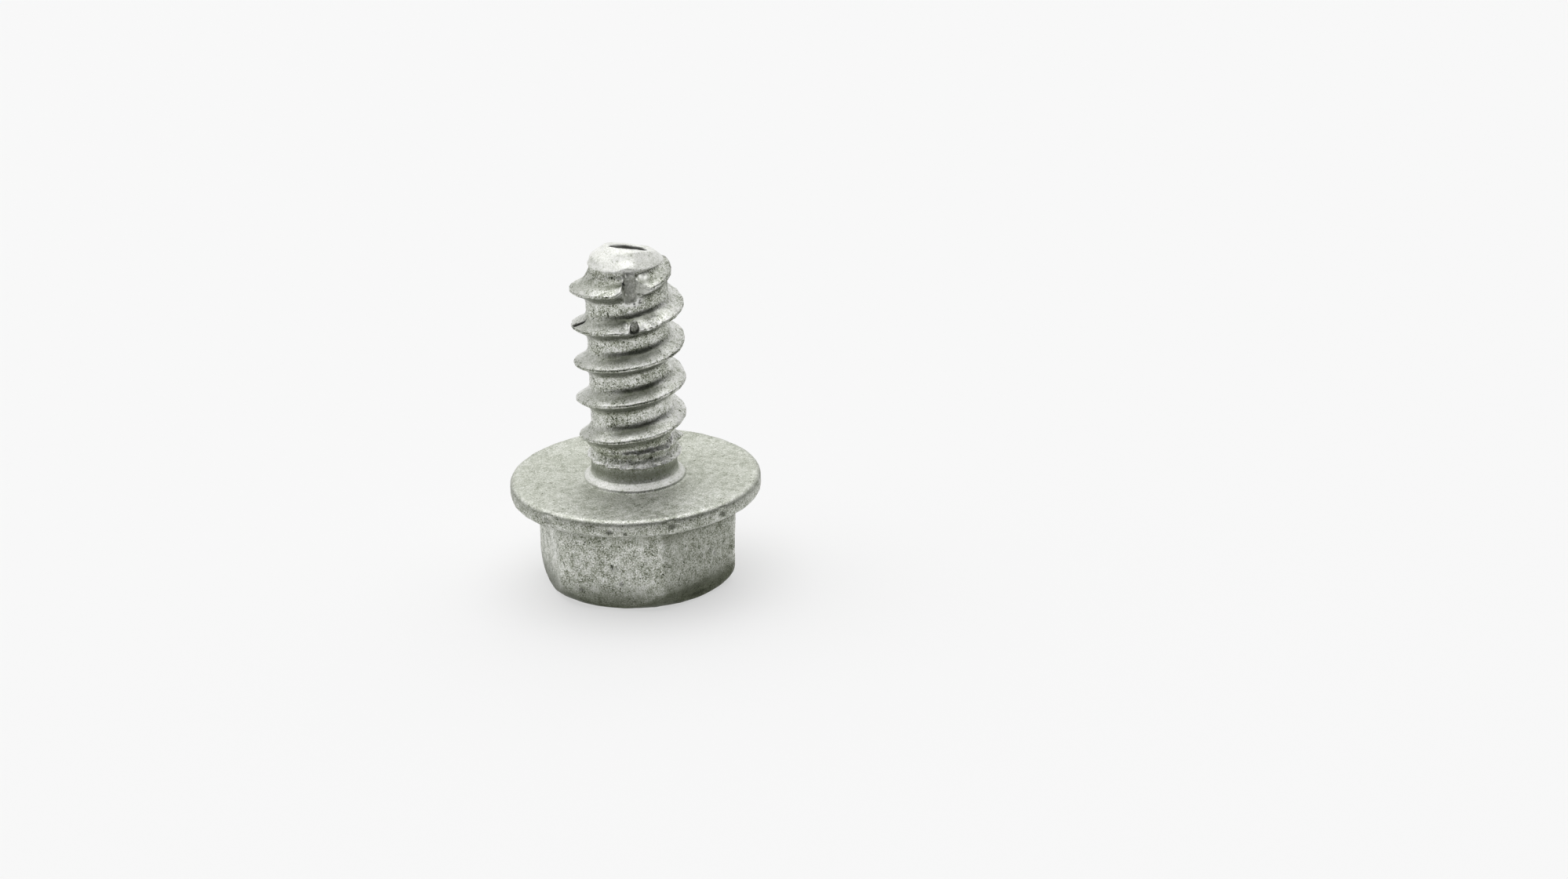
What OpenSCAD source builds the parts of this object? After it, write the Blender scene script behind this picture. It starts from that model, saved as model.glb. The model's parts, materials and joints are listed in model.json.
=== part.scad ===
// Flanged hex head thread-cutting screw with a cross recess.
// One piece of cold-headed, thread-rolled steel. It stands on its head:
// the origin is the centre of the head's end, and +Z runs up the shank to the point.

/* [Hex head] */
// Width of the hex across its flats
hex_across_flats = 7.75; // [7:0.05:8.6]
// How far each hex corner is trimmed back from a sharp one
hex_corner_trim = 0.18; // [0.05:0.01:0.4]
// Height from the end of the head to the bearing face of the flange
head_height = 4.7; // [4:0.05:6.5]
// Diameter of the flat rim at the end of the head
head_rim_d = 6.8; // [6.5:0.05:7.2]
// Height over which the end of the head is rounded off
head_round_h = 1.05; // [0.5:0.05:1.6]
// Diameter of the dish pressed into the end of the head
dish_d = 6.1; // [5.6:0.05:6.4]
// Depth of that dish
dish_depth = 0.25; // [0.1:0.05:0.5]
// Slope of the dish's wall from the screw's axis, in degrees
dish_wall_slope = 45; // [10:1:60]

/* [Cross recess] */
// Span of the cross from wing tip to wing tip, at the dish
recess_span = 4.7; // [4:0.05:5.2]
// Width of each wing at the dish
wing_w = 1.1; // [0.8:0.05:1.4]
// Depth of the cross below the dish
recess_depth = 2.5; // [1.8:0.05:3]
// Slope of the wing tips from the screw's axis, in degrees
wing_tip_slope = 26.5; // [20:0.5:30]
// Radius of the corners between the wings
recess_corner_r = 0.35; // [0.1:0.05:0.5]
// Diameter of the flat at the bottom of the cross
recess_flat_d = 0.8; // [0.4:0.05:1.2]

/* [Flange] */
// Outer diameter of the flange
flange_d = 10.7; // [9.8:0.05:12]
// Thickness of the flange at its rim
rim_t = 0.75; // [0.6:0.05:1.2]
// Radius of the rim's two edges
rim_edge_r = 0.24; // [0.1:0.02:0.28]
// Slope of the flange's face on the hex side, in degrees
flange_slope = 13; // [5:1:20]
// Width of the flat ring that bears on the work
bearing_ring_w = 0.9; // [0.4:0.05:1.4]
// How far the bearing face is hollowed towards the shank
bearing_hollow = 0.1; // [0.05:0.01:0.2]

/* [Shank] */
// Length from the bearing face to the tip
shank_len = 10.3; // [9:0.1:25]
// Diameter of the plain neck under the flange
neck_d = 3.66; // [3.4:0.02:3.7]
// Length of the plain neck
neck_len = 0.95; // [0.6:0.05:3]
// Radius of the fillet between the neck and the flange
neck_fillet_r = 0.3; // [0.1:0.02:0.4]

/* [Thread] */
// Major diameter, over the crests
thread_d = 4.76; // [4.4:0.02:5.2]
// Minor diameter, at the roots
root_d = 3.48; // [3.2:0.02:3.7]
// Pitch of the single right-hand thread
pitch = 1.645; // [1.2:0.005:2]
// Width of the flat on the crest
crest_w = 0.12; // [0.05:0.01:0.2]
// Angle between the two flanks, in degrees
flank_angle = 60; // [40:1:64]
// Direction in which the crest leaves the collar, in degrees
thread_angle = 334; // [0:1:360]
// Diameter of the unrolled collar from which the thread grows
collar_d = 3.84; // [3.76:0.02:4.2]
// Height over which the thread grows to its full depth above the neck
runout_len = 1.1; // [0.5:0.05:2]
// Height over which the thread fades out below the point
fade_len = 0.95; // [0.5:0.05:2]

/* [Point] */
// Diameter at the base of the point
point_d = 3.3; // [3.1:0.02:3.5]
// Diameter of the sheared end
end_d = 1.9; // [1.4:0.05:2.3]
// Height of the point's cone
point_h = 0.68; // [0.4:0.02:0.9]
// Length of the plain land between the thread's end and the point
point_land = 0.1; // [0.05:0.05:0.4]
// Width of the lip by which the point's base stands out over that land
point_lip = 0.06; // [0.04:0.01:0.12]
// Tilt of the sheared end, in degrees
end_tilt = 10; // [0:1:14]
// Direction of the sheared end's high side, in degrees
end_tilt_angle = 264; // [0:1:360]
// Width of the rim round the hollow in the sheared end, on its high side
end_rim = 0.16; // [0.08:0.02:0.3]
// Depth of that hollow
end_hollow = 0.14; // [0.05:0.01:0.2]

/* [Cutting slot] */
// Direction that the slot faces, in degrees
slot_angle = 292; // [0:1:360]
// Length of the slot, back from the tip
slot_len = 3.9; // [3:0.1:5]
// Depth of the slot at the base of the point
slot_depth = 0.18; // [0.1:0.02:0.4]
// Slope of the slot's floor from the screw's axis, in degrees
slot_slope = 15; // [8:0.5:18]
// Angle between the slot's cutting wall and its open wall, in degrees
slot_open_angle = 70; // [50:1:90]

/* [Hidden] */

// How far a piece runs into its neighbour, so that the two are one solid
root_in = 0.25;
// How far a cutting tool runs past the metal
past = 1;
// Straight share of each thread flank, and the width of the rounding at its root as a share of the flank
flank_straight = 0.85;
root_blend = 0.5;
// Flat steps in each turn of the thread
thread_steps = 72;
// Straight steps in a rounded quarter of a turned outline
arc_steps = 8;
circle_steps = 96;
corner_steps = 24;

hex_r = hex_across_flats / 2 / cos(30);
hex_corner_r = hex_r - hex_corner_trim;
flange_r = flange_d / 2;
rim_bottom = head_height - rim_t;
bearing_ring_r = flange_r - rim_edge_r - bearing_ring_w;
neck_r = neck_d / 2;
thread_r = thread_d / 2;
thread_root_r = root_d / 2;
point_r = point_d / 2;
point_base = shank_len - point_h;
point_slope = point_h / (point_r - end_d / 2);
land_r = point_r - point_lip;
thread_end = point_base - point_land;
thread_top = point_base + point_slope * point_lip / 2;
thread_turns = ceil((thread_top - neck_len) / pitch) + 2;

// Points on an arc about a centre, from one angle to another
function arc(centre, r, from, to, steps = arc_steps) =
    [for (i = [0:steps]) let (a = from + (to - from) * i / steps) centre + r * [cos(a), sin(a)]];

// Goes smoothly from 0 to 1 as t does
function ease(t) = let (c = min(max(t, 0), 1)) c * c * (3 - 2 * c);

function mix(a, b, t) = a + (b - a) * t;

// The hex head: a hex prism, turned round at its corners and at its end
module hex_head() {
    prism_h = rim_bottom + root_in;
    round_w = hex_corner_r - head_rim_d / 2;
    outline = concat(
        [[0, 0]],
        [for (p = arc([0, 0], 1, -90, 0)) [head_rim_d / 2 + round_w * p.x, head_round_h * (1 + p.y)]],
        [[hex_corner_r, prism_h], [0, prism_h]]);
    intersection() {
        linear_extrude(prism_h) circle(hex_r, $fn = 6);
        rotate_extrude($fn = circle_steps) polygon(outline);
    }
}

// The flange: sloped on the hex side, round at its rim and slightly hollow where it bears
module flange() {
    inner_r = hex_across_flats / 2 - root_in;
    edge_r = flange_r - rim_edge_r;
    inner_z = rim_bottom - (edge_r - inner_r) * tan(flange_slope);
    hollow_z = head_height - bearing_hollow;
    outline = concat(
        [[0, inner_z], [inner_r, inner_z]],
        arc([edge_r, rim_bottom + rim_edge_r], rim_edge_r, flange_slope - 90, 0),
        arc([edge_r, head_height - rim_edge_r], rim_edge_r, 0, 90),
        [[bearing_ring_r, head_height], [neck_r + neck_fillet_r, hollow_z], [0, hollow_z]]);
    rotate_extrude($fn = circle_steps) polygon(outline);
}

// The dish pressed into the end of the head
module head_dish() {
    mouth_r = dish_d / 2 + past * tan(dish_wall_slope);
    floor_r = dish_d / 2 - dish_depth * tan(dish_wall_slope);
    outline = [
        [0, -past],
        [mouth_r, -past],
        [floor_r, dish_depth],
        [0, dish_depth]];
    rotate_extrude($fn = circle_steps) polygon(outline);
}

// The cross recess: four tapered wings round a blunt cone, opening at the dish
module cross_recess() {
    mouth_r = recess_span / 2 + past * tan(wing_tip_slope);
    floor_r = recess_span / 2 - recess_depth * tan(wing_tip_slope);
    flat_z = recess_depth + (floor_r - recess_flat_d / 2) / 2;
    cone = [
        [0, -past],
        [mouth_r, -past],
        [floor_r, recess_depth],
        [recess_flat_d / 2, flat_z],
        [0, flat_z]];
    translate([0, 0, dish_depth])
        intersection() {
            rotate_extrude($fn = circle_steps) polygon(cone);
            translate([0, 0, -2 * past]) linear_extrude(flat_z + 3 * past)
                offset(r = -recess_corner_r, $fn = corner_steps) offset(delta = recess_corner_r) {
                    square([2 * mouth_r + 2 * past, wing_w], center = true);
                    square([wing_w, 2 * mouth_r + 2 * past], center = true);
                }
        }
}

// The plain neck, filleted into the flange
module neck() {
    foot_r = neck_r + neck_fillet_r;
    foot_z = -bearing_hollow;
    outline = concat(
        [[0, foot_z - root_in], [foot_r, foot_z - root_in]],
        arc([foot_r, foot_z + neck_fillet_r], neck_fillet_r, -90, -180),
        [[neck_r, neck_len + root_in], [0, neck_len + root_in]]);
    rotate_extrude($fn = circle_steps) polygon(outline);
}

// Radius of the thread at a height, from the root where share is 0 to the crest where it is 1
function thread_radius(z, share) =
    let (full = mix(thread_root_r, thread_r, share))
    let (grown = mix(collar_d / 2, full, ease((z - neck_len) / runout_len)))
    mix(grown, land_r, ease((z - thread_end + fade_len) / fade_len));

// The rolled thread, on a grid whose rows follow the helix: each turn repeats one profile,
// and rows that would pass the ends are held on the end planes
module thread() {
    flank = (thread_r - thread_root_r) * tan(flank_angle / 2);
    flank_end = crest_w / 2 + flank_straight * flank;
    root_start = min(flank_end + root_blend * flank, pitch / 2);
    // Each point is its distance from the crest's middle and its share of the thread's height
    upper = [[crest_w / 2, 1], [flank_end, 1 - flank_straight], [root_start, 0]];
    lower = [for (k = [2:-1:1]) [pitch - upper[k].x, upper[k].y]];
    profile = concat([[-crest_w / 2, 1]], upper, lower);
    rows = len(profile);
    last = thread_turns * rows;
    z = [for (i = [0:thread_steps - 1]) [for (j = [0:last])
        let (free = neck_len + pitch * (i / thread_steps + floor(j / rows) - 1) + profile[j % rows].x)
        min(max(free, neck_len), thread_top)]];
    points = [for (i = [0:thread_steps - 1]) for (j = [0:last])
        let (a = thread_angle + 360 * i / thread_steps, r = thread_radius(z[i][j], profile[j % rows].y))
        [r * cos(a), r * sin(a), z[i][j]]];
    function at(i, j) = i < thread_steps ? i * (last + 1) + j : min(j + rows, last);
    function height(i, j) = points[at(i, j)].z;
    walls = [for (i = [0:thread_steps - 1]) for (j = [0:last - 1]) each [
        if (height(i + 1, j) < height(i + 1, j + 1)) [at(i, j), at(i + 1, j + 1), at(i + 1, j)],
        if (height(i, j) < height(i, j + 1)) [at(i, j), at(i, j + 1), at(i + 1, j + 1)]]];
    bottom = [for (i = [0:thread_steps - 1]) at(i, 0)];
    top = [for (i = [thread_steps - 1:-1:0]) at(i, last)];
    polyhedron(points, concat(walls, [bottom, top]));
}

// The blunt point, sheared off at a slant with a hollow in the sheared end
module point() {
    cone_top = point_base + point_r * point_slope;
    hollow_mouth_r = end_d / 2 * point_slope / (point_slope + tan(end_tilt)) - end_rim;
    hollow_r = (hollow_mouth_r * hollow_mouth_r + end_hollow * end_hollow) / (2 * end_hollow);
    outline = [
        [0, point_base],
        [point_r, point_base],
        [0, cone_top]];
    difference() {
        rotate_extrude($fn = circle_steps) polygon(outline);
        translate([0, 0, shank_len]) rotate(end_tilt_angle) rotate([0, -end_tilt, 0]) {
            translate([-flange_r, -flange_r, 0]) cube([flange_d, flange_d, cone_top]);
            translate([0, 0, hollow_r - end_hollow]) rotate([90, 0, 0]) sphere(hollow_r, $fn = circle_steps);
        }
    }
}

// The milled slot across the first threads: a radial cutting wall and a relieved open wall
module cutting_slot() {
    wall = thread_r + past;
    plan = [
        [0, 0],
        [0, -wall],
        [wall * tan(slot_open_angle), -wall]];
    rotate(slot_angle + 90)
        translate([0, -(point_r - slot_depth), point_base])
            rotate([-slot_slope, 0, 0])
                translate([0, 0, point_h - slot_len])
                    linear_extrude(slot_len + past) polygon(plan);
}

module screw() {
    color([0.62, 0.63, 0.60])
        difference() {
            union() {
                hex_head();
                flange();
                translate([0, 0, head_height]) {
                    neck();
                    thread();
                    point();
                }
            }
            head_dish();
            cross_recess();
            translate([0, 0, head_height]) cutting_slot();
        }
}

screw();
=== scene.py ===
import json
import math

import bmesh
import bpy
from mathutils import Matrix, Vector, noise


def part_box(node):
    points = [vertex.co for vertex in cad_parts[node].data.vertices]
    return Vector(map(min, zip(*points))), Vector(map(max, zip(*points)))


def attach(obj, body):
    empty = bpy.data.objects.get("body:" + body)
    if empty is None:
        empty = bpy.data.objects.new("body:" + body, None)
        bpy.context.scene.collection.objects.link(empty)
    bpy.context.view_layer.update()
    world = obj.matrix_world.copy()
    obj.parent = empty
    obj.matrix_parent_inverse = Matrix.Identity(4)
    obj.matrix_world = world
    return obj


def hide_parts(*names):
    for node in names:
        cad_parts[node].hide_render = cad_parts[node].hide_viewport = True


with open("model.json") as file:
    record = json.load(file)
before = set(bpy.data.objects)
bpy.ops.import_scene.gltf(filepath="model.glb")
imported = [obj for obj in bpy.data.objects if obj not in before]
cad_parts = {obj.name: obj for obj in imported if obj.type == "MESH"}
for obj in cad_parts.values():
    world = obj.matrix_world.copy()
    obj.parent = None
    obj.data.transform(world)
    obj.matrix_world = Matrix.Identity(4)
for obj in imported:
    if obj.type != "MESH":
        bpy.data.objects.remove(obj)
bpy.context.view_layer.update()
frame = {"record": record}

# The head: a hex on a wide round flange, upset cold from steel wire in a die, which leaves its
# corners and its rim round. The flange is slightly hollow where it bears, so its rim grips first.
# All sizes are in millimetres until the finished mesh is scaled to metres.
MM = 0.001
AROUND = 240
mounts = {mount["name"]: mount["pos_m"] for mount in frame["record"]["mounts"]}
bearing = mounts["bearing_face"][2] / MM
screw_low, screw_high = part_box("screw")
flange_r = (screw_high.x - screw_low.x) / 2 / MM
hex_flat_r = 3.875
hex_corner_r = 4.295
dish_r = 3.05
dish_depth = 0.25
dish_floor_r = 2.8
head_rim_r = 3.4
head_round_h = 1.05
rim_t = 0.75
flange_slope = math.tan(math.radians(13))
rim_bottom = bearing - rim_t
foot_z = rim_bottom - (flange_r - hex_corner_r) * flange_slope
neck_r = 1.83
neck_len = 0.95
collar_r = 1.9


def rounded(corners, steps):
    """A path of (radius, height) points through corners, each with the radius of its rounding."""
    path = []
    for i, (r, z, round_r) in enumerate(corners):
        here = Vector((r, z))
        if not round_r:
            path.append(here)
            continue
        before = (Vector(corners[i - 1][:2]) - here).normalized()
        after = (Vector(corners[(i + 1) % len(corners)][:2]) - here).normalized()
        half = before.angle(after) / 2
        centre = here + (before + after).normalized() * (round_r / math.sin(half))
        reach = round_r / math.tan(half)
        start = here + before * reach - centre
        sweep = math.copysign(math.pi - 2 * half, after.cross(before))
        path += [centre + Matrix.Rotation(sweep * k / steps, 2) @ start for k in range(steps + 1)]
    return path


def spaced(path, gap):
    """The same path, with points added so that no step is longer than gap."""
    out = [path[0]]
    for a, b in zip(path, path[1:]):
        parts = max(1, math.ceil((b - a).length / gap))
        out += [a.lerp(b, k / parts) for k in range(1, parts + 1)]
    return out


def turned(path, rise=0.0):
    """Turns an outline once round the screw's axis, rising by rise on the way."""
    part = bmesh.new()
    verts = [part.verts.new((p.x, 0, p.y)) for p in path]
    edges = [part.edges.new(pair) for pair in zip(verts, verts[1:])]
    bmesh.ops.spin(
        part, geom=verts + edges, cent=(0, 0, 0), axis=(0, 0, 1), dvec=(0, 0, rise / AROUND),
        angle=2 * math.pi, steps=AROUND, use_merge=rise == 0)
    return part


def join(part):
    """Adds a finished part to the whole screw."""
    part.to_mesh(mesh)
    part.free()
    screw.from_mesh(mesh)


def ease(t):
    """Goes smoothly from 0 to 1 as t does."""
    t = min(max(t, 0.0), 1.0)
    return t * t * (3 - 2 * t)


def mix(a, b, t):
    """Goes evenly from a to b as t goes from 0 to 1."""
    return a + (b - a) * t


def along(points, x):
    """Reads a curve that runs smoothly through a few (x, y) points."""
    for (x0, y0), (x1, y1) in zip(points, points[1:]):
        if x <= x1:
            return mix(y0, y1, ease((x - x0) / (x1 - x0)))
    return points[-1][1]


def apart(a, b):
    """The angle between two directions, in degrees, from -180 to 180."""
    return (a - b + 180) % 360 - 180


def hump(distance, width):
    """A smooth bump: 1 at no distance, 0 from width on."""
    return 1 - ease(abs(distance) / width)


def smooth_min(a, b, blend):
    """The smaller of two values, blended where they are close."""
    h = max(blend - abs(a - b), 0.0) / blend
    return min(a, b) - h * h * blend / 4


def wobble(x, y, z):
    """Smooth noise between about -1 and 1."""
    return noise.noise(Vector((x, y, z)))


def polar(v):
    """Radius and direction, in degrees from 0 to 360, of a point seen along the axis."""
    return math.hypot(v.co.x, v.co.y), math.degrees(math.atan2(v.co.y, v.co.x)) % 360


def put(v, r, degrees, z):
    """Places a point by its radius, direction and height."""
    a = math.radians(degrees)
    v.co = (r * math.cos(a), r * math.sin(a), z)


screw = bmesh.new()
mesh = bpy.data.meshes.new("flanged_screw")
head_end = rounded(
    [(dish_floor_r - 0.2, dish_depth, 0), (dish_floor_r, dish_depth, 0.1),
     (dish_r, 0, 0.06), (head_rim_r, 0, 0)], 3)
head_round = []
for k in range(1, 13):
    a = math.radians(90 * k / 12)
    head_round.append(Vector((
        mix(head_rim_r, hex_corner_r, math.sin(a)), head_round_h * (1 - math.cos(a)))))
flange_and_neck = rounded(
    [(hex_corner_r, head_round_h + 0.1, 0), (hex_corner_r, foot_z, 0.2),
     (flange_r, rim_bottom, 0.26), (flange_r, bearing, 0.24), (4.2, bearing, 0.6),
     (2.3, bearing - 0.05, 0.06), (2.17, bearing - 0.03, 0.02), (2.14, bearing + 0.07, 0.03),
     (1.88, bearing + 0.28, 0.08), (neck_r, bearing + 0.45, 0.2),
     (neck_r, bearing + neck_len - 0.05, 0.02), (collar_r, bearing + neck_len, 0)], 4)
head = turned(spaced(head_end + head_round + flange_and_neck, 0.2))
hex_blend = 0.06
worn_corner = 0
worn_depth = 0.2
flat_spot = 322
flat_spot_depth = 0.14
rim_wave = 0.035
rim_warp = 0.04
rim_ripple = 0.012
for v in head.verts:
    r, degrees = polar(v)
    z = v.co.z
    flat = hex_flat_r / math.cos(math.radians(degrees % 60 - 30))
    flat -= worn_depth * hump(apart(degrees, worn_corner), 24) * ease((3.0 - z) / 1.4)
    reach = smooth_min(hex_corner_r, flat, hex_blend)
    cut = hex_corner_r - reach
    if r > head_rim_r - 0.2 and z < foot_z and r < hex_corner_r + 1e-4:
        r = smooth_min(r, flat, hex_blend)
        r -= flat_spot_depth * hump(apart(degrees, flat_spot), 42) * hump(z - 0.45, 0.45)
        z -= cut * flange_slope * ease((z - 2) / (foot_z - 2))
    elif r >= hex_corner_r and z < rim_bottom + 0.2 and r < flange_r - 0.05:
        new_r = flange_r - (flange_r - r) * (flange_r - reach) / (flange_r - hex_corner_r)
        z += (new_r - r) * flange_slope
        r = new_r
    out = ease((r - 4.4) / 0.9)
    swing = math.radians(degrees)
    r += out * rim_wave * (wobble(2 * math.cos(swing), 2 * math.sin(swing), 5.3) - 0.5)
    z += out * rim_warp * wobble(1.3 * math.cos(swing), 1.3 * math.sin(swing), 1.7)
    z += out * rim_ripple * wobble(4 * math.cos(swing), 4 * math.sin(swing), 8.1)
    put(v, r, degrees, z)
join(head)

# The cross recess: four tapered wings round a blunt cone, pressed into the dish by a punch, which
# drags the edge of the mouth in a little and leaves it round.
recess_r = 2.35
wing_half = 0.55
recess_corner_r = 0.35
recess_depth = 2.5
recess_taper = math.tan(math.radians(26.5))
recess_flat_r = 0.4
recess_bottom = recess_depth + (recess_r - recess_depth * recess_taper - recess_flat_r) / 2
recess = bmesh.new()
cross = []
tip_half = math.asin(wing_half / recess_r)
for wing in range(4):
    a = math.pi / 2 * wing
    corner = Matrix.Rotation(a, 2) @ Vector((wing_half, -wing_half))
    cross.append((corner.x, corner.y, recess_corner_r))
    for k in range(9):
        b = a + mix(-tip_half, tip_half, k / 8)
        cross.append((recess_r * math.cos(b), recess_r * math.sin(b), 0))
loop = [recess.verts.new((p.x, p.y, dish_depth)) for p in spaced(rounded(cross, 6), 0.15)]
ring = [recess.edges.new(pair) for pair in zip(loop, loop[1:] + loop[:1])]
bmesh.ops.scale(recess, vec=(1.03, 1.03, 1), verts=loop)
for depth in (0.03, 0.08, 0.3, 0.7, 1.1, 1.5, 1.9, 2.3, recess_depth):
    made = bmesh.ops.extrude_edge_only(recess, edges=ring)["geom"]
    ring = [g for g in made if isinstance(g, bmesh.types.BMEdge) and g.is_boundary]
    loop = [g for g in made if isinstance(g, bmesh.types.BMVert)]
    if depth < 0.1:
        bmesh.ops.scale(recess, vec=(1 / 1.015, 1 / 1.015, 1), verts=loop)
    for v in loop:
        r, degrees = polar(v)
        put(v, min(r, recess_r - depth * recess_taper), degrees, dish_depth + depth)
made = bmesh.ops.extrude_edge_only(recess, edges=ring)["geom"]
ring = [g for g in made if isinstance(g, bmesh.types.BMEdge) and g.is_boundary]
for v in [g for g in made if isinstance(g, bmesh.types.BMVert)]:
    r, degrees = polar(v)
    put(v, recess_flat_r, degrees, dish_depth + recess_bottom)
bmesh.ops.edgeloop_fill(recess, edges=ring)
join(recess)
bmesh.ops.triangle_fill(
    screw, use_beauty=True, normal=(0, 0, -1),
    edges=[e for e in screw.edges if e.is_boundary and abs(e.verts[0].co.z - dish_depth) < 0.001])

# The thread: one right-hand spiral rolled into the shank between dies, steep and widely spaced so
# that it cuts into sheet. The dies left rings where it grows out of the collar, and a fold on the
# crests where the metal from both flanks met.
pitch = 1.645
thread_r = 2.385
root_r = 1.74
crest_w = 0.12
crest_round = 0.05
root_fillet = 0.4
flank_h = (thread_r - root_r) * math.tan(math.radians(30))
thread_angle = 334
thread_end = 9.66
land_r = 1.53
thread_turns = 7
die_marks = (
    (0.95, 1.90), (0.975, 1.98), (1.0, 1.99), (1.2, 1.84), (1.36, 1.76), (1.48, 1.82), (1.6, 1.88),
    (1.72, 1.8), (1.82, 1.755), (1.95, 1.76), (2.1, root_r), (8.9, root_r), (9.55, land_r))
crest_end = ((8.6, 1.0), (8.95, 0.93), (9.37, 0.55), (9.7, 0.2), (10.1, 0.0))
first_crest = bearing + neck_len + pitch * ((360 - thread_angle) / 360 - 1)
root_corner = crest_w / 2 + flank_h
profile = rounded(
    [(root_r, first_crest - pitch / 2, 0), (root_r, first_crest - root_corner, root_fillet),
     (thread_r, first_crest - crest_w / 2, crest_round), (thread_r, first_crest, 0),
     (thread_r, first_crest + crest_w / 2, crest_round),
     (root_r, first_crest + root_corner, root_fillet), (root_r, first_crest + pitch / 2, 0)], 3)
first_grown = 0.19
fold_depth = 0.09
ledge_h = 1.06
ledge_crumble = 0.06
ridge_at = 345
ridge_out = 0.16
burr_at = 20
burr_h = 1.68
burr_out = 0.32


def ridge_h(degrees):
    """The height of the torn ridge that climbs from the ledge towards the burr."""
    return 1.3 + 0.019 * apart(degrees, 325)


thread = turned(spaced(profile, 0.15), pitch)
first_turn = list(thread.verts) + list(thread.edges) + list(thread.faces)
for k in range(1, thread_turns):
    turn = bmesh.ops.duplicate(thread, geom=first_turn)["geom"]
    turn_verts = [g for g in turn if isinstance(g, bmesh.types.BMVert)]
    bmesh.ops.translate(thread, vec=(0, 0, pitch * k), verts=turn_verts)
for v in thread.verts:
    r, degrees = polar(v)
    turns = (v.co.z - first_crest) / pitch - degrees / 360
    crest_h = v.co.z - bearing - (turns - round(turns)) * pitch
    h = min(max(v.co.z - bearing, neck_len), thread_end)
    depth = (r - root_r) * ease((crest_h - 0.75) / 1.5) * along(crest_end, crest_h)
    depth *= 1 - first_grown * (1 - ease((crest_h - 1.2) / 5.5))
    share = (r - root_r) / (thread_r - root_r)
    way = crest_h * 8
    grown = ease((crest_h - 1.4) / 0.6)
    depth += 0.05 * share ** 3 * wobble(way, 0.4, 3.3) * grown
    depth += 0.03 * share ** 3 * wobble(way * 4, 7.4, 1.3) * grown
    if share > 0.99 and abs(v.co.z - bearing - crest_h) < 0.02:
        depth -= fold_depth * max(wobble(way * 0.6, 2.2, 9.1) + 0.25, 0)
    depth *= ease((h - neck_len) / 0.2) * ease((thread_end - h) / 0.12)
    clear = ease((h - neck_len) / 0.04)
    depth += ledge_crumble * clear * hump(h - ledge_h, 0.17) * wobble(degrees * 0.33, h * 12, 2.0)
    depth += 0.025 * clear * hump(h - 1.5, 0.5) * wobble(degrees * 0.25, h * 9, 6.0)
    crumbs = 0.6 + 0.9 * wobble(degrees * 0.4, h * 16, 8.0)
    on_ridge = hump(apart(degrees, ridge_at), 28) * hump(h - ridge_h(degrees), 0.18)
    depth += ridge_out * crumbs * clear * on_ridge
    burr = hump(apart(degrees, burr_at), 14) * hump(h - burr_h, 0.26)
    depth += burr * (burr_out + 0.12 * wobble(degrees * 0.5, h * 14, 4.0))
    put(v, along(die_marks, h) + depth, degrees, bearing + h)
join(thread)

# The point: a short blunt cone that starts the screw in its hole. The wire was sheared off there,
# so its end slants and is hollow, and the metal that was pressed back stands out as a lip.
point_r = 1.61
point_base = 9.7
end_r = 1.02
end_h = 10.26
end_rim = 0.24
end_hollow = 0.36
lip_rise = 0.16
lip_high = 289
point_slope = (end_h - point_base) / (point_r - end_r)
end_tilt = math.tan(math.radians(14.7))
end_high = 247
fuller_at = 200
fuller_out = 0.16
mouth_pinch = 0.35
slot_angle = 287
slot_out = Vector((math.cos(math.radians(slot_angle)), math.sin(math.radians(slot_angle)), 0))
point_path = rounded(
    [(land_r, thread_end, 0), (land_r + 0.02, point_base - 0.03, 0.01),
     (point_r, point_base - 0.01, 0.03), (end_r, end_h, 0.1),
     (end_r - end_rim, end_h - 0.02, 0.04), (end_r - end_rim - 0.12, end_h - end_hollow, 0.08),
     (0, end_h - end_hollow, 0)], 3)
point = turned(spaced(point_path, 0.08))
for v in point.verts:
    r, degrees = polar(v)
    h = v.co.z
    lean = math.cos(math.radians(degrees - end_high))
    cut_r = (end_h - point_base - point_r * point_slope) / -(point_slope + end_tilt * lean)
    share = min(max((point_r - r) / (point_r - end_r), 0), 1)
    lifted = lip_rise * hump(apart(degrees, lip_high), 24)
    if h > point_base and r > end_r - 0.03:
        new_r = mix(r, r * cut_r / end_r, share)
        h += (r - new_r) * point_slope + lifted * (1 - ease(share * 1.6))
        r = new_r
    elif r <= end_r - 0.03:
        r *= cut_r / end_r
        h += end_tilt * lean * r
    else:
        h += lifted * ease((h - thread_end) / 0.03)
    swing = math.radians(degrees)
    if h > thread_end + 0.01:
        h += 0.05 * wobble(1.5 * math.cos(swing), 1.5 * math.sin(swing), 4.4) * ease(r / 1.2)
        r += 0.04 * wobble(2.2 * math.cos(swing), 2.2 * math.sin(swing), 6.1 + h) * ease(r / 1.2)
    fuller = hump(apart(degrees, fuller_at), 75) * hump(h - 10.0, 0.3)
    mouth = hump(r - 0.72, 0.3) * ease((h - 10.05) / 0.1)
    far_side = ease(-math.cos(swing - math.radians(slot_angle)) + 0.4)
    h += 0.05 * mouth * wobble(degrees * 0.12, 3.0, 1.1) * far_side
    put(v, r + fuller_out * fuller * ease((r - 0.7) / 0.3), degrees, bearing + h)
    v.co -= slot_out * mouth_pinch * v.co.dot(slot_out) * ease((0.95 - r) / 0.2)
join(point)
bmesh.ops.remove_doubles(screw, verts=screw.verts, dist=0.0005)

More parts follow.
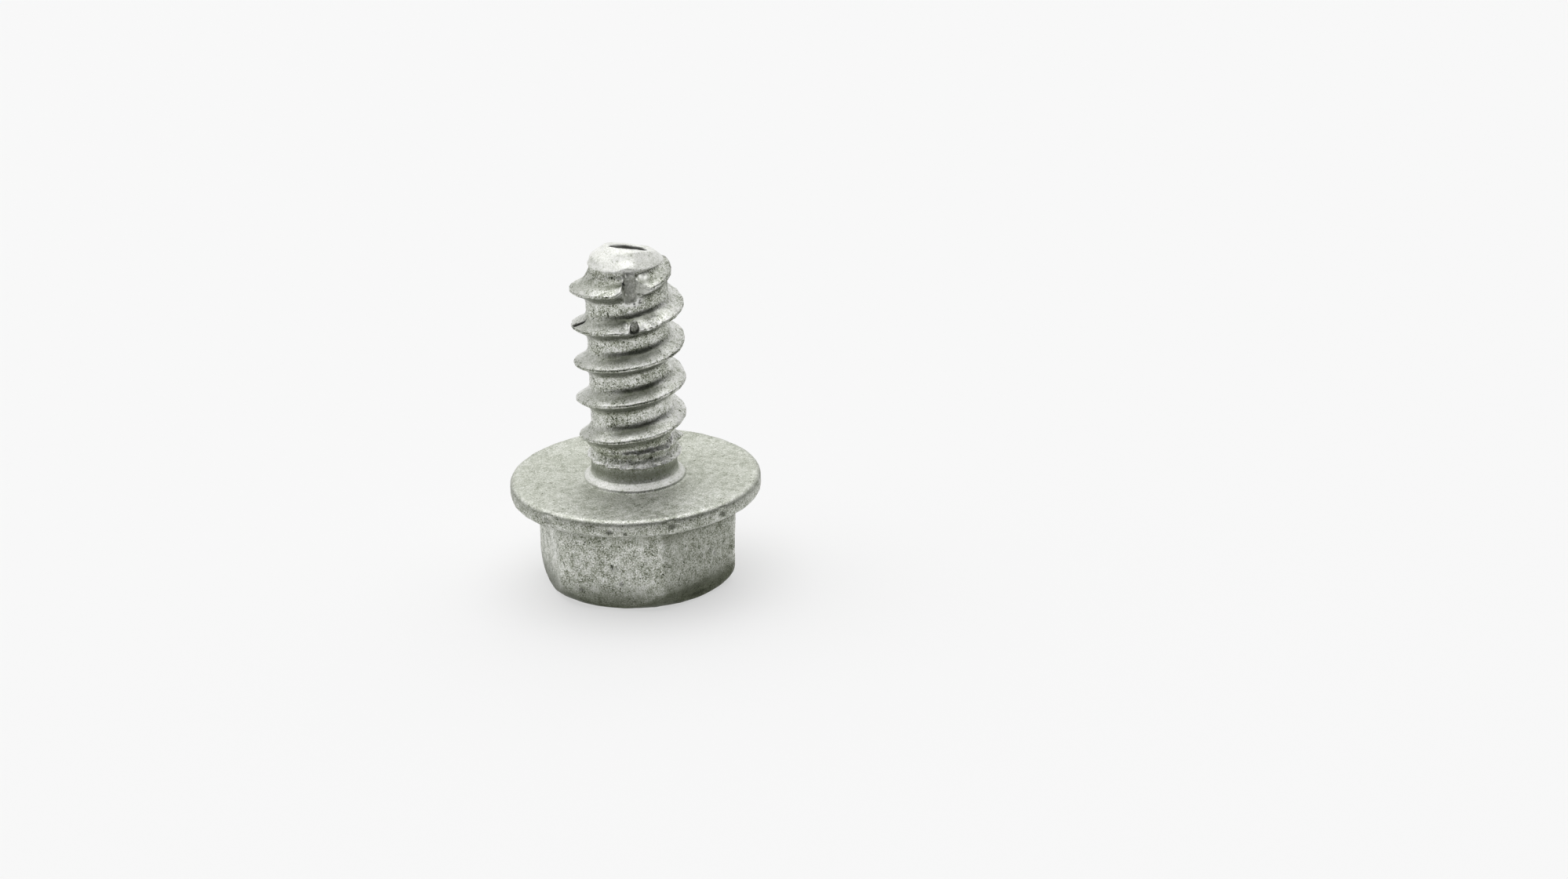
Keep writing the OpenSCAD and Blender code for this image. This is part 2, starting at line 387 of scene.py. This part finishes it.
# The cutting slot: a groove milled slantwise across the first threads, which makes the screw cut
# its own thread. Its floor rises away from the point, and the cut metal is torn at its edges.
slot_floor_r = 1.45
slot_rise = 0.23
slot_left = -0.08
slot_right = 0.4
slot_top = 9.66
slot_low = 8.25
ledge_r = 1.64
notch_x = 0.26
notch_h = 7.47
notch_half_w = 0.16
notch_up = 0.2
notch_down = 0.31
notch_floor_r = 1.88
torn = screw.verts.layers.float.new("torn")
# Painted shade in the slot's notch and corner, in the crack and in the end's hollow, and darkened
# dents.
crevice_shade_and_dark_pits = screw.verts.layers.float.new("crevice_shade_and_dark_pits")
milled = screw.verts.layers.float.new("milled")
# Each torn bit has its place across the slot, its height, its radius and how far it stands out.
torn_bits = (
    (-0.1, 7.56, 0.17, 0.1), (-0.07, 7.33, 0.17, 0.13), (-0.32, 7.33, 0.1, 0.07),
    (0.6, 7.42, 0.16, 0.1), (0.84, 7.38, 0.13, 0.11), (1.08, 7.47, 0.12, 0.13),
    (1.3, 7.52, 0.09, 0.09), (0.02, 9.5, 0.1, 0.14), (-0.02, 9.58, 0.06, 0.12),
    (-0.03, 8.78, 0.06, 0.12), (0.6, 8.72, 0.12, 0.09), (0.55, 8.45, 0.14, 0.08),
    (0.3, 8.3, 0.1, 0.07), (0.8, 9.38, 0.3, 0.03), (0.62, 9.47, 0.16, 0.04))


def slot_place(co):
    """A point's place across the slot, its place outwards along the slot, and its height."""
    across = co.y * slot_out.x - co.x * slot_out.y
    return across, co.x * slot_out.x + co.y * slot_out.y, co.z - bearing


def refine(inside):
    """Splits the edges for which inside(point) holds, to give finer detail there."""
    picked = [e for e in screw.edges if inside(e.verts[0].co) and inside(e.verts[1].co)]
    bmesh.ops.subdivide_edges(screw, edges=picked, cuts=1, use_grid_fill=True)


def near_slot(co):
    """Where the slot, its edges and the notch are cut."""
    x, y, h = slot_place(co)
    return y > 1.1 and -0.65 < x < 1.35 and (7.0 < h < 7.95 or 8.15 < h < 9.9)


def near_edges(co):
    """Where torn edges need the finest mesh."""
    x, y, h = slot_place(co)
    if abs(x - notch_x) < 0.34 and abs(h - notch_h) < 0.4:
        return y > 1.5
    return y > 1.2 and -0.2 < x < 1.25 and 8.7 < h < 9.6 and x < 0.75 + (9.3 - h) * 2


refine(near_slot)
refine(near_edges)
for v in screw.verts:
    x, y, h = slot_place(v.co)
    if y < 0.8 or h < 6.9:
        continue
    rag = 0.6 * wobble(x * 5, h * 5, 2.5) + 0.6 * wobble(x * 13, h * 13, 7.7)
    lift = 0.24 * ease((x + 0.6) / 0.52) * ease((y - 1.72) / 0.55) * ease((h - 8.3) / 0.2)
    if x < 0.1:
        v.co.z += lift
        v[torn] = max(v[torn], 0.8 * ease(lift / 0.12) * ease((y - 1.95) / 0.15))
        h += lift
    floor = slot_floor_r + (slot_top - h) * slot_rise
    flap = 0.42 + (9.44 - h) * 2.0 + 0.22 * rag
    if x < slot_left + 0.06 * rag:
        limit = floor + (slot_left - x + 0.06 * rag) * 6 - 0.35 * hump(h - 9.22, 0.14)
    elif x < slot_right:
        limit = floor + 0.012 * rag
    else:
        limit = max(floor, ledge_r) + min(x - slot_right, 0.35) * 0.6 + max(x - flap, 0) * 7
        limit += 0.02 * rag
    limit += max(h - slot_top - 0.06, 0) * 20
    if h < slot_low:
        wide = (x - notch_x) / notch_half_w
        tall = (h - notch_h) / (notch_up if h > notch_h else notch_down)
        limit = notch_floor_r + max(math.hypot(wide, tall) - 1 + 0.35 * rag, 0) * 1.6
    deep = y - limit
    if deep > 0:
        v.co -= slot_out * deep
        v[torn] = 0.3 if x > slot_right and h > slot_low else 0.0
        v[milled] = ease((h - 8.2) / 0.1) * ease(deep / 0.03)
        # Painted shade: the notch is darkened the deeper it is cut, and the slot's floor a little.
        v[crevice_shade_and_dark_pits] = 0.52 * ease(deep / 0.14) if h < slot_low else 0.06 * hump(x - 0.16, 0.3)
    else:
        v[torn] = max(v[torn], hump(deep, 0.4) * ease(1.3 * rag + 0.9))
    # Painted shade in the gap at the slot's upper corner.
    if x < slot_left and h > 8.9:
        corner = hump(x + 0.2, 0.28) * hump(h - 9.3, 0.16) * ease((1.95 - y) / 0.2)
        v[crevice_shade_and_dark_pits] = max(v[crevice_shade_and_dark_pits], 0.3 * corner)
    for bit_x, bit_h, bit_r, bit_out in torn_bits:
        bit = hump(math.hypot(x - bit_x, h - bit_h), bit_r)
        if bit > 0 and y > 1.2:
            v.co += slot_out * bit * bit_out
            v[torn] = max(v[torn], bit)
            v[crevice_shade_and_dark_pits] *= 1 - bit

# Marks of use: a crack in one crest, dents and pits in the hex, and nicks in the flange's rim.
# Each is pressed into the mesh; the crack is painted near black inside as painted shade, and the
# dents are darkened at the bottom.
crack_half_w = 0.13
crack_depth = 0.07
crack = ((206, 2.42, 6.94), (210, 2.29, 7.0), (213, 2.2, 7.08), (219, 2.0, 7.25))
crack_way = []
for degrees, r, h in crack:
    a = math.radians(degrees)
    crack_way.append(Vector((r * math.cos(a), r * math.sin(a), bearing + h)))
# Each dent has its centre, its radius, its depth and how dark its bottom is painted.
dents = (
    (-0.02, -3.86, 2.02, 0.13, 0.07, 0.9), (0.16, -3.87, 1.93, 0.09, 0.05, 0.8),
    (-0.17, -3.87, 1.9, 0.08, 0.04, 0.5), (0.364, -3.87, 1.35, 0.22, 0.06, 0.0),
    (3.77, -1.215, 1.81, 0.16, 0.06, 0.4), (3.6, -1.5, 2.1, 0.12, 0.04, 0.2),
    (2.95, -2.6, 2.4, 0.1, 0.04, 0.5), (2.6, -3.1, 1.2, 0.16, 0.04, 0.0),
    (-1.4, -3.87, 0.95, 0.2, 0.05, 0.1), (1.5, -3.87, 2.3, 0.1, 0.03, 0.5),
    (0.374, -5.334, 4.25, 0.2, 0.07, 0.5), (1.028, -5.247, 4.16, 0.16, 0.06, 0.5),
    (-2.5, -4.72, 4.4, 0.35, 0.08, 0.0), (2.9, -4.5, 4.45, 0.3, 0.06, 0.1),
    (4.6, -2.7, 4.4, 0.3, 0.07, 0.1))


def from_crack(co):
    """How far a point is from the crack, seen from above."""
    best = 9.0
    if 6.8 < co.z - bearing < 7.5:
        for a, b in zip(crack_way, crack_way[1:]):
            t = min(max((co - a).xy.dot((b - a).xy) / (b - a).xy.length_squared, 0), 1)
            best = min(best, (co - a.lerp(b, t)).xy.length)
    return best


def near_marks(co):
    """Where the crack and the dents are pressed in."""
    if from_crack(co) < 0.14:
        return True
    return any((co - Vector(d[:3])).length < d[3] * 1.3 for d in dents)


refine(near_marks)
refine(near_marks)
bmesh.ops.recalc_face_normals(screw, faces=screw.faces)
screw.normal_update()
for v in screw.verts:
    split = hump(from_crack(v.co), crack_half_w)
    # Painted shade: the crack is painted near black inside.
    if split > 0 and v.normal.z > -0.3:
        v[crevice_shade_and_dark_pits] = max(v[crevice_shade_and_dark_pits], min(3 * split, 1))
        v.co -= v.normal * crack_depth * split
    # Each dent is pressed in and darkened at its bottom.
    for x, y, z, reach, pressed, pit_dark in dents:
        away = (v.co - Vector((x, y, z))).length
        if away < reach:
            v.co -= v.normal * pressed * hump(away, reach)
            v[crevice_shade_and_dark_pits] = max(v[crevice_shade_and_dark_pits], pit_dark * hump(away, reach * 0.8))

# The coating: a matte grey layer of zinc flakes, baked on after dipping and spinning. It is rough
# like fine sand. Its colour also carries painted highlights and painted shade, set out below.
# Per point: its tone, with the painted highlights in it; how far painted shade darkens it; "sandy",
# its grain; "matt", its haze.
bmesh.ops.recalc_face_normals(screw, faces=screw.faces)
screw.normal_update()
for v in screw.verts:
    c = v.co
    lump = 0.014 * wobble(c.x * 2.2, c.y * 2.2, c.z * 2.2)
    lump += 0.008 * wobble(c.x * 6, c.y * 6, c.z * 6)
    lump += 0.03 * v[torn] * wobble(c.x * 9, c.y * 9, c.z * 9)
    v.co += v.normal * lump
    v.co.z = min(max(v.co.z, 0), screw_high.z / MM - 0.002)
screw.normal_update()
sandy = screw.verts.layers.float.new("sandy")
tone_with_painted_light = screw.verts.layers.float.new("tone_with_painted_light")
hollow = screw.verts.layers.float.new("hollow")
matt = screw.verts.layers.float.new("matt")
for v in screw.verts:
    r, degrees = polar(v)
    h = v.co.z - bearing
    patch = wobble(v.co.x * 1.3, v.co.y * 1.3, v.co.z * 1.3 + 5)
    threaded = ease((h - 1.2) / 0.4) * ease((9.6 - h) / 0.3)
    upper = ease((v.normal.z - 0.25) / 0.4)
    lower = ease((-v.normal.z - 0.1) / 0.5)
    root = ease((1.95 - r) / 0.2)
    on_point = ease((h - 9.62) / 0.1)
    bearing_face = ease((h + 0.25) / 0.2) * ease((0.5 - h) / 0.2)
    fillet = hump(h - 0.16, 0.2) * ease((2.3 - r) / 0.15)
    neck = ease((1.9 - r) / 0.05) * hump(h - 0.62, 0.4)
    crest = ease((r - 2.15) / 0.15)
    rim = ease((r - 5.1) / 0.12)
    ledge = hump(h - ledge_h, 0.15) * ease((r - 1.84) / 0.05)
    ledge += hump(apart(degrees, ridge_at), 30) * hump(h - ridge_h(degrees), 0.2)
    in_front = hump(apart(degrees, 292), 75)
    near_tip = ease((h - 8.3) / 0.5)
    cut_side = hump(slot_place(v.co)[0] - 0.02, 0.3)
    # Painted highlights: the thread's upward-facing flanks, its crests at the front right, the point,
    # the fillet and the front of the bearing face are lighter. The ledge is lighter, the milled cut
    # is lighter as bare metal, and the thread is darker towards the point.
    tone = 0.5 + 0.2 * threaded * upper + 0.3 * on_point + 0.32 * fillet + 0.38 * ledge
    tone += threaded * upper * crest * 0.12 * hump(apart(degrees, 312), 60)
    tone += 0.08 * bearing_face * in_front - 0.1 * threaded * near_tip + 0.2 * v[milled]
    # Painted shade: the thread's undersides, a band on its inner flanks at the front, the neck, its
    # upper flanks at two sides, the slot beside its cut wall, patches in the roots and a band on the
    # rim are darkened.
    inner_flank = threaded * ease((v.normal.z - 0.08) / 0.35) * hump(r - 1.86, 0.3)
    front_shade_band = hump(apart(degrees, 288 + 20 * patch), 58) * ease((h - 1.9) / 0.4)
    sides = hump(apart(degrees, 225), 50) + 0.5 * hump(apart(degrees, 355), 40)
    deep = 0.46 * threaded * lower + 0.95 * inner_flank * front_shade_band + 0.58 * neck
    deep += 0.42 * threaded * upper * sides + 0.15 * cut_side * v[milled]
    deep += threaded * root * (0.05 + 0.4 * max(patch, 0) * hump(apart(degrees, 315), 50))
    deep += rim * 0.5 * hump(v.normal.z - 0.3, 0.5)
    if h < -0.3:
        # Painted light and shade on the hex: its left face and one corner are lighter, and so is the
        # rim's lower rounding; its rounding towards the bottom (but not the head end), its right
        # face, its top under the flange and its downward faces are darker.
        on_hex = ease((foot_z - v.co.z) / 0.1)
        right_face = ease((degrees - 299) / 3) * ease((361 - degrees) / 4)
        left_face = ease((degrees - 178) / 4) * ease((241 - degrees) / 3)
        tone += on_hex * (0.03 * left_face + 0.08 * hump(apart(degrees, 300), 4))
        on_end = ease((-v.normal.z - 0.8) / 0.15) + ease((3.2 - r) / 0.1)
        round_shade = 0.85 * ease((1.5 - v.co.z) / 1.2) + 0.3 * ease((0.35 - v.co.z) / 0.35)
        deep += round_shade * (1 - 0.85 * min(on_end, 1))
        deep += on_hex * (0.36 * right_face + 0.4 * ease((v.co.z - 2.95) / 0.4)) + 0.2 * lower
        tone += 0.08 * rim * lower
    lean = math.cos(math.radians(degrees - end_high))
    inwards = v.normal.x * v.co.x + v.normal.y * v.co.y < 0.35 * r
    # Painted shade inside the hollow of the sheared end.
    if inwards and r < 1.2 and h > 9.4:
        below_end = end_h + end_tilt * lean * r - h
        v[crevice_shade_and_dark_pits] = max(v[crevice_shade_and_dark_pits], 0.85 * ease((below_end - 0.03) / 0.06))
    v[tone_with_painted_light] = tone
    v[hollow] = min(max(deep, 0), 1)
    v[sandy] = 1.1 + 0.2 * threaded * root - 0.55 * on_point - 0.7 * neck
    v[sandy] -= bearing_face * (0.65 - 0.35 * in_front)
    v[sandy] += 0.4 * threaded * upper * crest + 0.5 * ledge
    v[sandy] *= (1 - 0.5 * v[hollow]) * (1 - 0.6 * v[milled])
    glossy = threaded * (0.5 - 0.6 * crest - near_tip)
    v[matt] = min(0.5 + bearing_face + fillet + rim - glossy, 1) + 0.9 * on_point
for face in screw.faces:
    face.smooth = True
bmesh.ops.scale(screw, vec=(MM, MM, MM), verts=screw.verts)
screw.to_mesh(mesh)
screw.free()
mesh.set_sharp_from_angle(angle=math.radians(50))
flanged_screw = bpy.data.objects.new("flanged_screw", mesh)
bpy.context.scene.collection.objects.link(flanged_screw)

coat = bpy.data.materials.new("zinc_flake_coat")
coat.use_nodes = True
coat_shader = coat.node_tree.nodes["Principled BSDF"]
coat_shader.inputs["Metallic"].default_value = 0.9
GRAIN_SCALE = 15000
CLUSTER_SCALE = 2600
BLOTCH_SCALE = 700
PIT_SCALE = 8000
FLAKE_SCALE = 28000
SPECKLE_MEAN = 1.48
COAT_TONES = (
    (0.0, (0.05, 0.054, 0.04, 1)), (0.25, (0.225, 0.242, 0.178, 1)), (0.5, (0.525, 0.543, 0.476, 1)),
    (0.75, (0.77, 0.777, 0.735, 1)), (1.0, (0.93, 0.93, 0.915, 1)))
BARE_METAL = (0.86, 0.865, 0.84, 1)
# The olive that painted shade darkens towards, and the near black of painted shade in crevices and of
# darkened dents.
PAINTED_SHADE_TINT = (0.2, 0.213, 0.165, 1)
CREVICE_AND_PIT_BLACK = (0.02, 0.02, 0.016, 1)
ROUGHEST_FLAKE = 0.42
SMOOTHEST_FLAKE = 0.3
MATT_ROUGHER = 0.2


def add(kind, **settings):
    """Adds a node to the coating; a setting is an option of the node, or the value of an input."""
    node = coat.node_tree.nodes.new("ShaderNode" + kind)
    for name, value in settings.items():
        if hasattr(node, name):
            setattr(node, name, value)
        else:
            node.inputs[name].default_value = value
    return node


def link(source, target):
    """Links an output in the coating to an input."""
    coat.node_tree.links.new(source, target)


def sum_of(a, gain_a, b, gain_b):
    """Two values, each with a gain, added together."""
    first = add("Math", operation="MULTIPLY")
    first.inputs[1].default_value = gain_a
    link(a, first.inputs[0])
    second = add("Math", operation="MULTIPLY_ADD")
    second.inputs[1].default_value = gain_b
    link(b, second.inputs[0])
    link(first.outputs[0], second.inputs[2])
    return second.outputs[0]


def attribute(name):
    """Reads a value that the mesh holds at each point."""
    return add("Attribute", attribute_name=name).outputs["Fac"]


def spread(value, low, high):
    """Stretches the part of a value from low to high over 0 to 1, with soft ends."""
    step = add("MapRange", interpolation_type="SMOOTHSTEP")
    step.inputs["From Min"].default_value = low
    step.inputs["From Max"].default_value = high
    link(value, step.inputs["Value"])
    return step.outputs[0]


place = add("TexCoord").outputs["Object"]
grain = add("TexNoise", Scale=GRAIN_SCALE, Detail=2, Roughness=0.6)
cluster = add("TexNoise", Scale=CLUSTER_SCALE, Detail=3, Roughness=0.6)
pits = add("TexNoise", Scale=PIT_SCALE, Detail=2)
flakes = add("TexVoronoi", Scale=FLAKE_SCALE)
flake = add("SeparateColor")
blotch = add("TexNoise", Scale=BLOTCH_SCALE, Detail=3)
for texture in (grain, cluster, blotch, pits, flakes):
    link(place, texture.inputs["Vector"])
link(flakes.outputs["Color"], flake.inputs[0])
pit = spread(pits.outputs["Fac"], 0.63, 0.72)
fleck = spread(flake.outputs[0], 0.8, 0.95)
speckle = sum_of(grain.outputs["Fac"], 1.4, pit, -0.45)
for part, gain in ((fleck, 0.45), (cluster.outputs["Fac"], 1.0), (blotch.outputs["Fac"], 0.5)):
    speckle = sum_of(speckle, 1.0, part, gain)
centred = add("Math", operation="SUBTRACT")
link(speckle, centred.inputs[0])
centred.inputs[1].default_value = SPECKLE_MEAN
toned = add("Math", operation="MULTIPLY_ADD")
link(centred.outputs[0], toned.inputs[0])
link(attribute("sandy"), toned.inputs[1])
link(attribute("tone_with_painted_light"), toned.inputs[2])
coloured = add("ValToRGB")
ramp = coloured.color_ramp.elements
ramp[0].position, ramp[0].color = COAT_TONES[0]
ramp[1].position, ramp[1].color = COAT_TONES[-1]
for position, colour in COAT_TONES[1:-1]:
    ramp.new(position).color = colour
link(toned.outputs[0], coloured.inputs[0])
bare = add("Mix", data_type="RGBA")
bare.inputs[7].default_value = BARE_METAL
link(attribute("torn"), bare.inputs[0])
link(coloured.outputs[0], bare.inputs[6])
# Painted shade: the colour is darkened towards olive.
painted_shade_mix = add("Mix", data_type="RGBA", blend_type="MULTIPLY")
painted_shade_mix.inputs[7].default_value = PAINTED_SHADE_TINT
link(attribute("hollow"), painted_shade_mix.inputs[0])
link(bare.outputs[2], painted_shade_mix.inputs[6])
# Painted shade in crevices and the crack, and darkened dents, go towards near black.
crevice_and_pit_mix = add("Mix", data_type="RGBA")
crevice_and_pit_mix.inputs[7].default_value = CREVICE_AND_PIT_BLACK
link(attribute("crevice_shade_and_dark_pits"), crevice_and_pit_mix.inputs[0])
link(painted_shade_mix.outputs[2], crevice_and_pit_mix.inputs[6])
link(crevice_and_pit_mix.outputs[2], coat_shader.inputs["Base Color"])
gloss = add("MapRange")
gloss.inputs["To Min"].default_value = ROUGHEST_FLAKE
gloss.inputs["To Max"].default_value = SMOOTHEST_FLAKE
link(flake.outputs[1], gloss.inputs["Value"])
rough = sum_of(gloss.outputs[0], 1.0, attribute("matt"), MATT_ROUGHER)
link(rough, coat_shader.inputs["Roughness"])
grit = add("Bump", Strength=0.25, Distance=0.00002)
link(speckle, grit.inputs["Height"])
link(grit.outputs["Normal"], coat_shader.inputs["Normal"])
mesh.materials.append(coat)
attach(flanged_screw, "root")
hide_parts("screw")

# The floor: a sheet of plain white paper, large enough to fill the view. Part of its white is its
# own to the eye, so that the screw's shadow on it stays as faint as on brightly lit paper.
floor_mesh = bpy.data.meshes.new("paper_floor")
sheet = bmesh.new()
bmesh.ops.create_grid(sheet, x_segments=1, y_segments=1, size=1.5)
sheet.to_mesh(floor_mesh)
sheet.free()
paper_floor = bpy.data.objects.new("paper_floor", floor_mesh)
bpy.context.scene.collection.objects.link(paper_floor)
PAPER_WHITE = 0.92
PAPER_OWN = 0.6
paper = bpy.data.materials.new("white_paper")
paper.use_nodes = True
paper_nodes = paper.node_tree.nodes
paper_links = paper.node_tree.links
paper_lit = paper_nodes["Principled BSDF"]
paper_lit.inputs["Base Color"].default_value = (0.9, 0.9, 0.9, 1)
paper_lit.inputs["Roughness"].default_value = 0.9
paper_lit.inputs["Specular IOR Level"].default_value = 0.1
paper_own = paper_nodes.new("ShaderNodeEmission")
paper_own.inputs["Strength"].default_value = PAPER_WHITE
paper_mix = paper_nodes.new("ShaderNodeMixShader")


def seen_directly(tree, also):
    """A mask that is 1 for what the camera sees, and for the other kinds of ray that are named."""
    path = tree.nodes.new("ShaderNodeLightPath")
    total = path.outputs["Is Camera Ray"]
    for name in also:
        either = tree.nodes.new("ShaderNodeMath")
        either.operation = "MAXIMUM"
        tree.links.new(total, either.inputs[0])
        tree.links.new(path.outputs[name], either.inputs[1])
        total = either.outputs[0]
    return total


paper_share = paper_nodes.new("ShaderNodeMath")
paper_share.operation = "MULTIPLY"
paper_share.inputs[1].default_value = PAPER_OWN
paper_seen = seen_directly(paper.node_tree, ["Is Glossy Ray", "Is Transmission Ray"])
paper_links.new(paper_seen, paper_share.inputs[0])
paper_links.new(paper_share.outputs[0], paper_mix.inputs[0])
paper_links.new(paper_lit.outputs[0], paper_mix.inputs[1])
paper_links.new(paper_own.outputs[0], paper_mix.inputs[2])
paper_links.new(paper_mix.outputs[0], paper_nodes["Material Output"].inputs["Surface"])
floor_mesh.materials.append(paper)

# The light: a white tent that is open towards the camera, so it is bright overhead, behind and at
# the sides and dark in front, and one large soft box above it.
scene = bpy.context.scene
scene.view_settings.view_transform = "Standard"
TENT_WHITE = 0.86
TENT_LEVEL = 0.42
TENT_SLANT = (-0.627, 0.854, 0.45)
world = bpy.data.worlds.new("white_tent")
scene.world = world
world.use_nodes = True
room = world.node_tree
tent = room.nodes["Background"]
tent.inputs["Color"].default_value = (1, 1, 1, 1)
room_place = room.nodes.new("ShaderNodeTexCoord")
slant = room.nodes.new("ShaderNodeVectorMath")
slant.operation = "DOT_PRODUCT"
slant.inputs[1].default_value = TENT_SLANT
level = room.nodes.new("ShaderNodeMapRange")
level.inputs["From Min"].default_value = -TENT_LEVEL
level.inputs["From Max"].default_value = 1 - TENT_LEVEL
level.inputs["To Max"].default_value = TENT_WHITE
backdrop = room.nodes.new("ShaderNodeBackground")
backdrop.inputs["Color"].default_value = (1, 1, 1, 1)
backdrop.inputs["Strength"].default_value = PAPER_WHITE
room_mix = room.nodes.new("ShaderNodeMixShader")
room.links.new(room_place.outputs["Generated"], slant.inputs[0])
room.links.new(slant.outputs["Value"], level.inputs["Value"])
room.links.new(level.outputs[0], tent.inputs["Strength"])
room.links.new(seen_directly(room, ["Is Transmission Ray"]), room_mix.inputs[0])
room.links.new(tent.outputs[0], room_mix.inputs[1])
room.links.new(backdrop.outputs[0], room_mix.inputs[2])
room.links.new(room_mix.outputs[0], room.nodes["World Output"].inputs["Surface"])

lamp = bpy.data.lights.new("soft_box", "AREA")
lamp.shape = "SQUARE"
lamp.size = 1.8
lamp.energy = 13.0
soft_box = bpy.data.objects.new("soft_box", lamp)
soft_box.location = (-0.1, 0.1, 1.2)
soft_box.rotation_euler = (-soft_box.location).to_track_quat("-Z", "Y").to_euler()
scene.collection.objects.link(soft_box)

# The camera: a long lens on a stand a little above the screw, turned and tipped slightly. It is aimed
# to the right of the screw, which leaves the right half of the frame empty.
FRAME_W = 1999
FRAME_H = 1121
lens_px = 8540
aim = Vector((0, 0, 4.33)) * MM
aim_px = Vector((809.6 - (FRAME_W - 1) / 2, 613.8 - (FRAME_H - 1) / 2))
camera_turn = math.radians(17)
camera_lift = math.radians(22.3)
camera_roll = math.radians(2.75)
distance = 285 * MM
level_back = Vector((math.sin(camera_turn), -math.cos(camera_turn), 0))
back = level_back * math.cos(camera_lift) + Vector((0, 0, math.sin(camera_lift)))
level_right = Vector((math.cos(camera_turn), math.sin(camera_turn), 0))
level_up = back.cross(level_right)
right = level_right * math.cos(camera_roll) - level_up * math.sin(camera_roll)
up = level_right * math.sin(camera_roll) + level_up * math.cos(camera_roll)
forward = (-back - right * (aim_px.x / lens_px) + up * (aim_px.y / lens_px)).normalized()
right = (right - forward * right.dot(forward)).normalized()
up = right.cross(forward)
camera_data = bpy.data.cameras.new("camera")
camera_data.sensor_width = 36
camera_data.lens = lens_px * camera_data.sensor_width / FRAME_W
camera_data.clip_start = 0.01
camera_data.clip_end = 10
camera = bpy.data.objects.new("camera", camera_data)
turned_to = Matrix((right, up, -forward)).transposed().to_4x4()
camera.matrix_world = Matrix.Translation(aim + back * distance) @ turned_to
scene.collection.objects.link(camera)
scene.camera = camera
